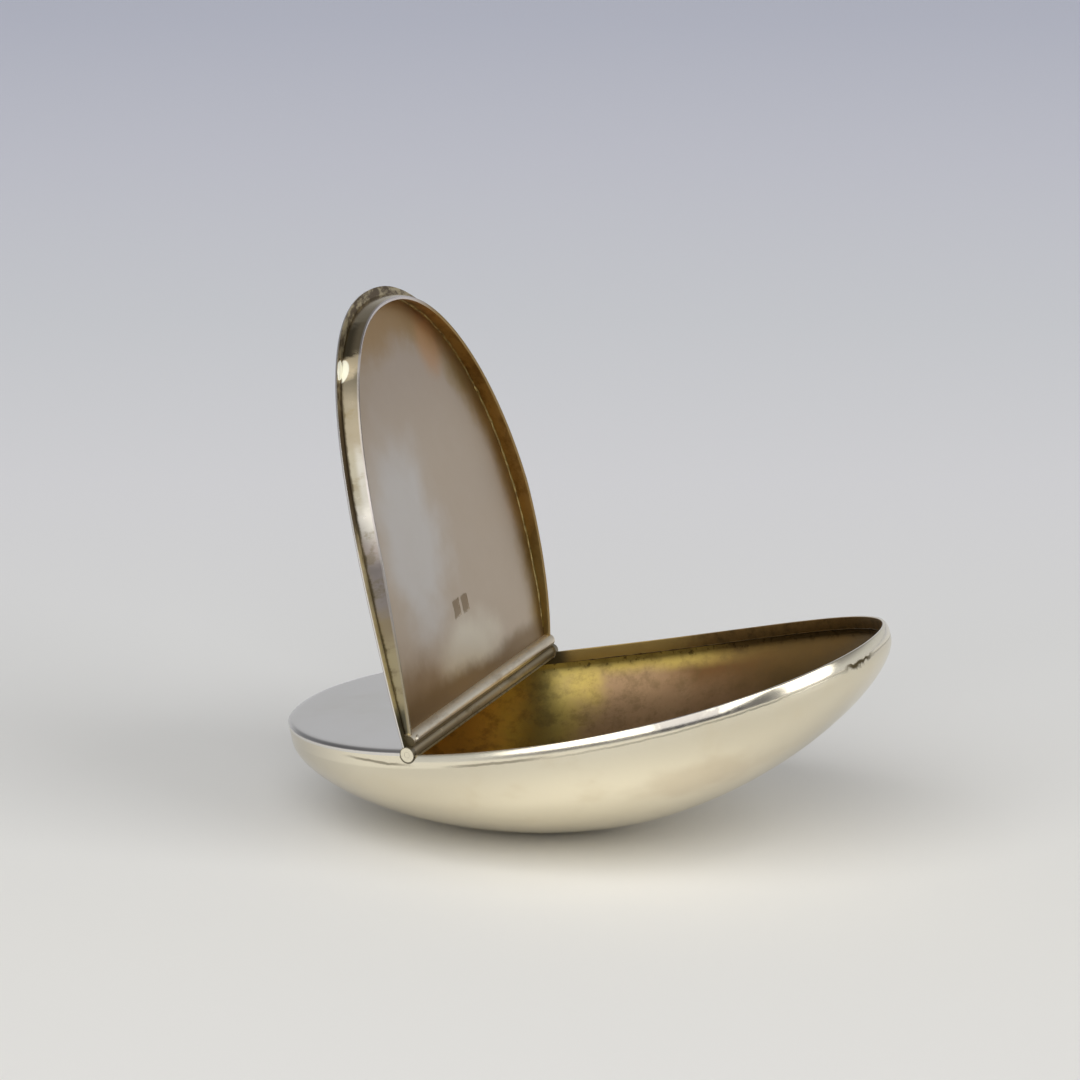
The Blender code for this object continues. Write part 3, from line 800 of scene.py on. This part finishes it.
def spun_oval(profile, closed, place, steps=AROUND):
    """Spins a profile of (radius, height) points round Z, and moves each point out to the oval."""
    points_at = [(radius, 0, height) for radius, height in profile]
    shape = spin_profile(points_at, closed, (0, 0, 0), (0, 0, 1), steps)
    for vert in shape.verts:
        x, y = place(math.hypot(vert.co.x, vert.co.y), math.atan2(vert.co.y, vert.co.x))
        vert.co = (x, y, vert.co.z + rise(x))
    return shape


def turned_along_y(section, closed):
    """A section of (radius, y) points turned round the hinge axis."""
    points_at = [(HINGE_X + radius, y, HINGE_Z) for radius, y in section]
    return spin_profile(points_at, closed, (HINGE_X, 0, HINGE_Z), (0, 1, 0), TUBE_SIDES)


def share_of_oval(radius, angle):
    return oval_point(angle, scale=radius)


def inside_outline(radius, angle):
    """Keeps distances from the outline, so that a wall has one thickness all round."""
    return oval_point(angle, inset=HALF_LENGTH - radius)


def cover_oval(radius, angle):
    """Keeps distances over the shoulder, and shrinks evenly towards the middle inside it."""
    inset = min(max(0.0, HALF_LENGTH - radius), SHOULDER_WIDTH)
    x, y = oval_point(angle, inset=inset)
    shrink = min(1.0, radius / (HALF_LENGTH - SHOULDER_WIDTH))
    return x * shrink, y * shrink


def slice_off(shape, x, keep_above):
    """Cuts a shape across the box at x, throws one side away and closes the cut."""
    shape.normal_update()
    cut = bmesh.ops.bisect_plane(shape, geom=shape.verts[:] + shape.edges[:] + shape.faces[:],
                                 dist=ON_THE_CUT, plane_co=(x, 0, 0), plane_no=(1, 0, 0),
                                 clear_inner=keep_above, clear_outer=not keep_above)
    rim = [g for g in cut["geom_cut"] if isinstance(g, bmesh.types.BMEdge)]
    bmesh.ops.holes_fill(shape, edges=rim, sides=0)
    return shape


def push_out(shape, faces, way):
    """Extrudes faces into a block."""
    pushed = bmesh.ops.extrude_face_region(shape, geom=faces)["geom"]
    bmesh.ops.translate(shape, verts=[g for g in pushed if isinstance(g, bmesh.types.BMVert)], vec=way)
    return shape


def bar_along_y(profile):
    """A profile of (x, z) points, measured from the hinge axis, extruded across the box."""
    shape = bmesh.new()
    reach = HALF_WIDTH + TRIM
    points = [shape.verts.new((HINGE_X + x, -reach, HINGE_Z + z)) for x, z in profile]
    edges = [shape.edges.new(pair) for pair in zip(points, points[1:] + points[:1])]
    section = bmesh.ops.edgeloop_fill(shape, edges=edges)["faces"]
    return push_out(shape, section, (0, 2 * reach, 0))


def oval_prism(inset):
    """A tall oval block for trimming the ends of cross pieces to the oval."""
    shape = bmesh.new()
    bmesh.ops.create_circle(shape, cap_ends=True, segments=AROUND, radius=1.0)
    for vert in shape.verts:
        x, y = oval_point(math.atan2(vert.co.y, vert.co.x), inset=inset)
        vert.co = (x, y, -FAR)
    return push_out(shape, shape.faces[:], (0, 0, 2 * FAR))


def as_object(shape):
    """Makes a shape an object for a moment, so that a modifier can work on it."""
    bmesh.ops.recalc_face_normals(shape, faces=shape.faces)
    mesh = bpy.data.meshes.new("in_work")
    shape.to_mesh(mesh)
    shape.free()
    obj = bpy.data.objects.new("in_work", mesh)
    bpy.context.scene.collection.objects.link(obj)
    return obj


def take_back(obj):
    """The shape of an object with its modifier applied."""
    bpy.context.view_layer.update()
    shape = bmesh.new()
    shape.from_mesh(obj.evaluated_get(bpy.context.evaluated_depsgraph_get()).data)
    return shape


def drop_object(obj):
    mesh = obj.data
    bpy.data.objects.remove(obj)
    bpy.data.meshes.remove(mesh)


def carve(shape, tool, operation="DIFFERENCE"):
    """Cuts one shape with another and returns the result."""
    blank, cutter = as_object(shape), as_object(tool)
    modifier = blank.modifiers.new("carve", "BOOLEAN")
    modifier.operation = operation
    modifier.object = cutter
    modifier.solver = "EXACT"
    result = take_back(blank)
    drop_object(blank)
    drop_object(cutter)
    return result


def thicken(obj, thickness):
    """Gives a sheet a wall inwards; the inner faces take the second material."""
    wall = obj.modifiers.new("wall", "SOLIDIFY")
    wall.thickness = thickness
    wall.offset = -1
    wall.use_even_offset = True
    wall.material_offset = 1


def ease_edges(obj, width):
    ease = obj.modifiers.new("ease", "BEVEL")
    ease.width = width
    ease.segments = EASE_STEPS
    ease.limit_method = "ANGLE"
    ease.angle_limit = math.radians(EASE_ANGLE)
    ease.harden_normals = False


def with_wall(shape, thickness):
    """The shape of an open sheet once it has its wall."""
    sheet = as_object(shape)
    sheet.data.materials.append(None)
    sheet.data.materials.append(None)
    thicken(sheet, thickness)
    result = take_back(sheet)
    drop_object(sheet)
    return result


def finish_piece(name, shape, side, materials, stands_for=(), turn_out=True):
    """Poses a shape, makes it a piece that rides on its side of the hinge, and hides the imported parts that
    it stands for.
    """
    if turn_out:
        bmesh.ops.recalc_face_normals(shape, faces=shape.faces)
    shape.transform(POSE[side])
    mesh = bpy.data.meshes.new(name)
    shape.to_mesh(mesh)
    shape.free()
    for material in materials:
        mesh.materials.append(material)
    mesh.shade_smooth()
    mesh.set_sharp_from_angle(angle=math.radians(SHARP_ANGLE))
    obj = bpy.data.objects.new(name, mesh)
    bpy.context.scene.collection.objects.link(obj)
    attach(obj, side)
    if stands_for:
        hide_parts(*stands_for)
    return obj


HINGE_HALF = half_width_at(HINGE_X)
COLLAR_START = HINGE_HALF - BAND_WIDTH + COLLAR_OVERLAP


def channel(gap):
    """The round room that the knuckles need, wider where the collars pass through the band."""
    wide = COLLAR_RADIUS + gap
    narrow = KNUCKLE_RADIUS + gap
    section = [(0, -FAR), (wide, -FAR), (wide, -COLLAR_START), (narrow, -COLLAR_START),
               (narrow, COLLAR_START), (wide, COLLAR_START), (wide, FAR), (0, FAR)]
    return turned_along_y(section, closed=False)


# Bowl: spun to the oval, settled onto its worn spot and thickened inwards

def make_bowl(outside, inside):
    shares = [math.sin(math.pi / 2 * i / BOWL_RINGS) for i in range(BOWL_RINGS + 1)]
    profile = [(share, bowl_height(share)) for share in shares]
    profile += [(1.0, -BAND_HEIGHT - CRISP_RING), (1.0, -BAND_HEIGHT)]
    shape = spun_oval(profile, False, share_of_oval)
    back_to_level = POSE["box"].inverted()
    for vert in shape.verts:
        stood = POSE["box"] @ vert.co
        if stood.z < 0:
            vert.co = back_to_level @ Vector((stood.x, stood.y, 0))
    shape = with_wall(shape, BOWL_WALL)
    finish_piece("bowl_shell", shape, "box", [outside, inside], ["bowl"])


# Rim band, in two lengths that meet at the hinge

def band_loop(bulged):
    """The band's ring; its outer face leans in on a long curve, or stands straight under the fixed plate."""
    outer = HALF_LENGTH
    inner = HALF_LENGTH - BAND_WIDTH
    rounding = (BAND_CORNER, BAND_CORNER)
    profile = [(inner, -BAND_HEIGHT), (outer, -BAND_HEIGHT)]
    if bulged:
        lean = math.radians(BAND_BULGE_TURN)
        foot = -BAND_BULGE * math.sin(lean)
        profile += arc((outer - BAND_BULGE, foot), (BAND_BULGE, BAND_BULGE), 0, BAND_BULGE_TURN,
                       BAND_FACE_STEPS)
        corner = profile.pop()
        centre = (corner[0] - BAND_CORNER * math.cos(lean), -BAND_CORNER)
        profile += arc(centre, rounding, BAND_BULGE_TURN, 90, CORNER_STEPS)
    else:
        profile.append((outer, 0.0))
    profile += arc((inner + BAND_CORNER, -BAND_CORNER), rounding, 90, 180, CORNER_STEPS)
    return spun_oval(profile, True, inside_outline)


def gild_inner_faces(shape):
    """Gives the second material to the faces that look in towards the middle of the box."""
    bmesh.ops.recalc_face_normals(shape, faces=shape.faces)
    for face in shape.faces:
        middle = face.calc_center_median()
        if face.normal.dot(outward(middle.x, middle.y)) < -FACING:
            face.material_index = 1


def make_band(metal, gilt):
    for name, is_open, stands_for in (("rim_band_open_side", True, ["rim_band"]),
                                      ("rim_band_plate_side", False, [])):
        length = slice_off(band_loop(bulged=is_open), HINGE_X, keep_above=is_open)
        length = carve(length, channel(FINE_GAP))
        gild_inner_faces(length)
        finish_piece(name, length, "box", [metal, gilt], stands_for)


# Cover: one dished oval plate with a rounded shoulder, cut in two at the hinge

def cover_blank(skirt):
    """The whole cover; with a skirt, its rim reaches down to the band that it is soldered to."""
    flat_reach = HALF_LENGTH - SHOULDER_WIDTH
    rings = [flat_reach * i / COVER_RINGS for i in range(1, COVER_RINGS + 1)]
    profile = [(0.0, COVER_TOP)] + [(radius, COVER_TOP) for radius in rings]
    shoulder = arc((flat_reach, COVER_TOP - SHOULDER_DROP), (SHOULDER_WIDTH, SHOULDER_DROP), 90, 0,
                   SHOULDER_STEPS)
    profile += shoulder[1:]
    if skirt:
        profile += [(HALF_LENGTH, 0.0), (HALF_LENGTH - BAND_WIDTH, 0.0)]
    else:
        profile += [(HALF_LENGTH, COVER_BOTTOM)]
    profile += [(radius, COVER_BOTTOM) for radius in reversed(rings)]
    profile += [(0.0, COVER_BOTTOM)]
    return spun_oval(profile, False, cover_oval)


def make_fixed_plate(metal):
    shape = slice_off(cover_blank(skirt=True), HINGE_X, keep_above=False)
    shape = carve(shape, channel(FINE_GAP))
    finish_piece("fixed_plate", shape, "box", [metal], ["fixed_top_plate"])


def punch_block(x, y):
    """A small rounded block that leaves a plain dent in the lid's inside."""
    shape = bmesh.new()
    bmesh.ops.create_cube(shape, size=1.0)
    bmesh.ops.scale(shape, verts=shape.verts, vec=(PUNCH_LONG, PUNCH_WIDE, 2 * PUNCH_DEEP))
    upright = [e for e in shape.edges if abs(e.verts[0].co.z - e.verts[1].co.z) > PUNCH_DEEP]
    bmesh.ops.bevel(shape, geom=upright, offset=PUNCH_WIDE * PUNCH_ROUNDING, segments=EASE_STEPS,
                    profile=0.5, affect="EDGES", material=-1)
    bmesh.ops.translate(shape, verts=shape.verts, vec=(x, y, COVER_BOTTOM + rise(x)))
    return shape


def make_lid(outside, inside):
    shape = slice_off(cover_blank(skirt=False), HINGE_X, keep_above=True)
    shape = carve(shape, channel(FINE_GAP))
    for y in PUNCH_PLACES:
        shape = carve(shape, punch_block(PUNCH_X, y))
    bmesh.ops.recalc_face_normals(shape, faces=shape.faces)
    for face in shape.faces:
        if face.normal.z < -FACING:
            face.material_index = 1
    finish_piece("lid_cover", shape, "lid", [outside, inside], ["lid_plate"])


# Lid bezel: a strip that follows the oval inside the band and tapers away towards the hinge

def make_bezel(outside, inside):
    start_x = HINGE_X + BEARER_CENTRE
    angles = [math.tau * (i / AROUND - 0.5) for i in range(AROUND + 1)]
    line = [oval_point(angle, inset=BEZEL_INSET) for angle in angles]
    line = [(x, y) for x, y in line if x >= start_x]
    shape = bmesh.new()
    points = [shape.verts.new((x, y, COVER_BOTTOM + rise(x))) for x, y in line]
    edges = [shape.edges.new(pair) for pair in zip(points, points[1:])]
    pulled = bmesh.ops.extrude_edge_only(shape, edges=edges)["geom"]
    for vert in (g for g in pulled if isinstance(g, bmesh.types.BMVert)):
        share = bezel_share(vert.co.x)
        vert.co -= outward(vert.co.x, vert.co.y) * BEZEL_LEAN * share
        vert.co.z -= BEZEL_HEIGHT * share + COVER_BOTTOM
    bmesh.ops.recalc_face_normals(shape, faces=shape.faces)
    middle = shape.faces[:][len(shape.faces) // 2]
    if middle.normal.dot(middle.calc_center_median()) < 0:
        bmesh.ops.reverse_faces(shape, faces=shape.faces)
    bezel = finish_piece("lid_bezel_strip", shape, "lid", [outside, inside], ["lid_bezel"],
                         turn_out=False)
    thicken(bezel, BEZEL_WALL)
    ease_edges(bezel, BEZEL_EASE)


# Hinge: trough on the box, half-round bearer on the lid, five knuckles between them and one pin

def make_trough(metal):
    inner = KNUCKLE_RADIUS + FINE_GAP
    outer = inner + TROUGH_WALL
    start, end = TROUGH_SPAN
    profile = arc((0, 0), (inner, inner), start, end, TROUGH_STEPS)
    profile += arc((0, 0), (outer, outer), end, start, TROUGH_STEPS)
    flange_top = inner * math.sin(math.radians(start))
    outer_x = outer * math.cos(math.radians(start))
    profile[-1] = (outer_x, flange_top - FLANGE_THICKNESS)
    profile += [(outer_x - FLANGE_WIDTH, flange_top - FLANGE_THICKNESS), (outer_x - FLANGE_WIDTH, flange_top)]
    shape = carve(bar_along_y(profile), oval_prism(BAND_WIDTH / 2), "INTERSECT")
    shape = carve(shape, channel(FINE_GAP / 2))
    finish_piece("hinge_trough", shape, "box", [metal], ["box_hinge_trough"])


def make_bearer(metal, shaded_metal, end_metal):
    """A half-round bar; the side towards the knuckles takes the darker knuckle silver as painted shade, and
    its two ends are dark.
    """
    top = rise(HINGE_X + BEARER_CENTRE) + COVER_BOTTOM + BEARER_BITE - HINGE_Z
    radii = (BEARER_HALF_WIDTH, BEARER_DEPTH + COVER_BOTTOM)
    profile = arc((BEARER_CENTRE, top), radii, 180, 360, BEARER_STEPS)
    shape = carve(bar_along_y(profile), oval_prism(BAND_WIDTH + BEARER_END_GAP), "INTERSECT")
    shape = carve(shape, channel(FINE_GAP))
    bmesh.ops.recalc_face_normals(shape, faces=shape.faces)
    for face in shape.faces:
        # Painted shade: the side towards the knuckles takes the darker knuckle silver
        if face.normal.x < -KNUCKLE_SIDE_FACING:
            face.material_index = 1
        if abs(face.normal.y) > END_FACING:
            face.material_index = 2
    finish_piece("hinge_bearer", shape, "lid", [metal, shaded_metal, end_metal],
                 ["lid_hinge_bearer"])


def make_knuckles(metals, collar_metal):
    """Five tubes end to end; the outer two have a wider collar that ends flush with the band."""
    names = ("box_knuckle_near", "lid_knuckle_near", "box_knuckle_middle", "lid_knuckle_far",
             "box_knuckle_far")
    step = 2 * HINGE_HALF / len(names)
    bore = PIN_RADIUS + PIN_GAP
    r, ease = KNUCKLE_RADIUS, KNUCKLE_EASE
    collar = [(r, COLLAR_START), (COLLAR_RADIUS, COLLAR_START), (COLLAR_RADIUS, FAR / 2), (bore, FAR / 2)]
    for number, name in enumerate(names):
        start = -HINGE_HALF + number * step + FINE_GAP
        end = start + step - 2 * FINE_GAP
        section = [(bore, start), (r - ease, start), (r, start + ease),
                   (r, end - ease), (r - ease, end), (bore, end)]
        if name == names[0]:
            section[:3] = [(radius, -y) for radius, y in reversed(collar)]
        if name == names[-1]:
            section[3:] = collar
        shape = turned_along_y(section, closed=True)
        if name in (names[0], names[-1]):
            shape = carve(shape, oval_prism(0.0), "INTERSECT")
        for face in shape.faces:
            if abs(face.calc_center_median().y) > COLLAR_START:
                face.material_index = 1
        side = "lid" if name.startswith("lid") else "box"
        finish_piece(name + "_tube", shape, side, [metals[side], collar_metal], [name])


# Solder: thin uneven beads along the seams, a drop of it by the bearer, and a bright cream drop on the ledge
# whose colour is a painted highlight

def solder_bead(inset, height, radius, keep_beyond, seed):
    """A ring of solder along the oval; it swells and wanders with noise, and thins out at its cut ends."""
    ring = arc((HALF_LENGTH - inset, height), (radius, radius), 0, 360, BEAD_SIDES)[:-1]
    shape = spun_oval(ring, True, inside_outline, steps=BEAD_AROUND)
    for vert in shape.verts:
        x, y, z = vert.co
        spot = Vector((x / MM, y / MM, seed)) * BEAD_GRAIN
        wander = 0.7 * noise.noise(spot) + 0.5 * noise.noise(spot * 3.1)
        grown = min(1.0, max(BEAD_THINNEST, (x - keep_beyond) / BEAD_RUN_IN))
        swell = (1.0 + 0.9 * noise.noise(spot * 1.7 + Vector((0, 0, 5)))) * grown
        level = height + rise(x)
        vert.co = Vector((x, y, level + (z - level) * swell)) + outward(x, y) * wander * radius * grown
    return slice_off(shape, keep_beyond, keep_above=True)


def solder_drop(x, inset, height, size, seed):
    """A small flattened drop on the near side, laid along the rim; its height follows the rim's rise."""
    shape = bmesh.new()
    bmesh.ops.create_icosphere(shape, subdivisions=4, radius=1.0)
    out = outward(x, -half_width_at(x))
    along_rim = Vector((-out.y, out.x, 0))
    middle = Vector((x, -half_width_at(x), 0)) - out * inset
    for vert in shape.verts:
        lump = 1.0 + 0.25 * noise.noise(vert.co * 1.3 + Vector((seed, 0, 0)))
        flat = middle + along_rim * (vert.co.x * size[0] * lump) + out * (vert.co.y * size[1] * lump)
        vert.co = Vector((flat.x, flat.y, height + rise(flat.x) + vert.co.z * size[2]))
    return shape


def make_solder(seam_metal, root_metal, bearer_drop_metal, ledge_glint_metal):
    seam = solder_bead(SEAM_BEAD_INSET, -BAND_HEIGHT, SEAM_BEAD, SEAM_BEAD_START, 1.0)
    finish_piece("rim_seam_solder", seam, "box", [seam_metal])
    root = solder_bead(ROOT_BEAD_INSET, COVER_BOTTOM, ROOT_BEAD, ROOT_BEAD_START, 2.0)
    finish_piece("bezel_root_solder", root, "lid", [root_metal])
    finish_piece("bearer_end_solder", solder_drop(**BEARER_DROP), "lid", [bearer_drop_metal])
    # Painted highlight: the bright cream drop on the ledge
    finish_piece("ledge_bright_drop", solder_drop(**LEDGE_GLINT_DROP), "lid", [ledge_glint_metal])


warm_silver = box_silver()
knuckle_metal = {side: hinge_silver(f"knuckle_silver_{side}", side, *KNUCKLE_SILVER) for side in POSE}
make_bowl(warm_silver, gilt_inside())
make_band(warm_silver, band_gilt())
make_fixed_plate(plate_silver("box", "plate_silver_grey"))
make_lid(plate_silver("lid", "lid_silver_grey"), lid_toned())
make_bezel(bezel_silver(), bezel_gilt())
make_trough(solder_gilt("trough_gilt_spotted", "box", *TROUGH_GILT))
make_bearer(hinge_silver("bearer_silver", "lid", *BEARER_SILVER), knuckle_metal["lid"],
            hinge_silver("bearer_end_dark", "lid", *BEARER_END_DARK))
make_knuckles(knuckle_metal, warm_silver)
make_solder(solder_gilt("rim_solder_gilt", "box", *SEAM_GILT),
            solder_gilt("bezel_solder_gilt", "lid", *ROOT_GILT),
            hinge_silver("solder_silver_dull", "lid", *DROP_DULL),
            hinge_silver("drop_glint_cream", "lid", *DROP_GLINT_CREAM))

pin = frame["nodes"]["hinge_pin"]
for slot_number in range(len(pin.material_slots)):
    pin.material_slots[slot_number].material = warm_silver


# Floor: a pale table whose colour is painted darker and cooler away from the camera, a painted falloff of the
# light; each tone has its distance in metres

FLOOR_TONES = [(-0.081, (0.867, 0.853, 0.817)), (-0.043, (0.859, 0.846, 0.807)),
               (0.079, (0.809, 0.806, 0.791)), (0.171, (0.807, 0.804, 0.819)),
               (0.292, (0.762, 0.774, 0.805)), (0.460, (0.737, 0.747, 0.822)),
               (0.670, (0.688, 0.709, 0.815))]
FLOOR_REACH = 3.0


def make_floor():
    material, tree, shader = new_material("table_paper")
    place = put(tree, "TexCoord").outputs["Object"]
    away = put(tree, "Mapping", {"Vector": place, "Rotation": (0, 0, -math.radians(CAMERA_TURN))})
    depth = split_place(tree, away.outputs["Vector"])["Y"]
    near, far = FLOOR_TONES[0][0], FLOOR_TONES[-1][0]
    share = calc(tree, "DIVIDE", calc(tree, "SUBTRACT", depth, near), far - near)
    tree.links.new(tone_ramp(tree, share, FLOOR_TONES), shader.inputs["Base Color"])
    shader.inputs["Roughness"].default_value = 0.9
    shader.inputs["Specular IOR Level"].default_value = 0.1
    shape = bmesh.new()
    bmesh.ops.create_grid(shape, x_segments=4, y_segments=4, size=FLOOR_REACH)
    mesh = bpy.data.meshes.new("table_top")
    shape.to_mesh(mesh)
    shape.free()
    mesh.materials.append(material)
    floor = bpy.data.objects.new("table_top", mesh)
    bpy.context.scene.collection.objects.link(floor)


# Light: two soft boxes and a plain room that is dark overhead, and in front, where the camera stands

LAMP_AWAY = 2.2
LAMP_AIM = (0, 0, 30 * MM)
ROOM_TONES = [(0.0, (0.56, 0.57, 0.60)), (0.25, (0.50, 0.51, 0.53)), (0.60, (0.25, 0.25, 0.26)),
              (1.0, (0.17, 0.17, 0.17))]
DARK_FRONT = (0.13, 0.13, 0.145)
DARK_FRONT_TURN = 17.0         # degrees round the box


def make_light(name, azimuth, elevation, size, power):
    """A soft box that faces the snuff box; azimuth 0 is its near side and 90 its right end."""
    a, e = math.radians(azimuth), math.radians(elevation)
    back = Vector((math.sin(a) * math.cos(e), -math.cos(a) * math.cos(e), math.sin(e)))
    lamp = bpy.data.lights.new(name, "AREA")
    lamp.shape = "RECTANGLE"
    lamp.size, lamp.size_y = size
    lamp.energy = power
    obj = bpy.data.objects.new(name, lamp)
    bpy.context.scene.collection.objects.link(obj)
    turn = back.to_track_quat("Z", "Y").to_matrix().to_4x4()
    obj.matrix_world = Matrix.Translation(Vector(LAMP_AIM) + back * LAMP_AWAY) @ turn


def make_world():
    world = bpy.data.worlds.new("studio")
    world.use_nodes = True
    bpy.context.scene.world = world
    tree = world.node_tree
    background = tree.nodes["Background"]
    direction = put(tree, "TexCoord").outputs["Generated"]
    up = split_place(tree, direction)["Z"]
    colour = tone_ramp(tree, ramp(tree, up, -0.1, 1.0), ROOM_TONES)
    turn = math.radians(DARK_FRONT_TURN)
    ahead = put(tree, "VectorMath", {0: direction, 1: (math.sin(turn), -math.cos(turn), 0.0)},
                operation="DOT_PRODUCT").outputs["Value"]
    shade = blend_colour(tree, ramp(tree, ahead, 0.62, 0.80), colour, DARK_FRONT)
    tree.links.new(shade, background.inputs["Color"])
    background.inputs["Strength"].default_value = 1.0


make_floor()
make_world()
make_light("front_soft_box", azimuth=0, elevation=42, size=(2.6, 2.3), power=41.0)
make_light("window_right", azimuth=79, elevation=33, size=(1.35, 2.15), power=20.0)
bpy.context.scene.view_settings.view_transform = "Standard"
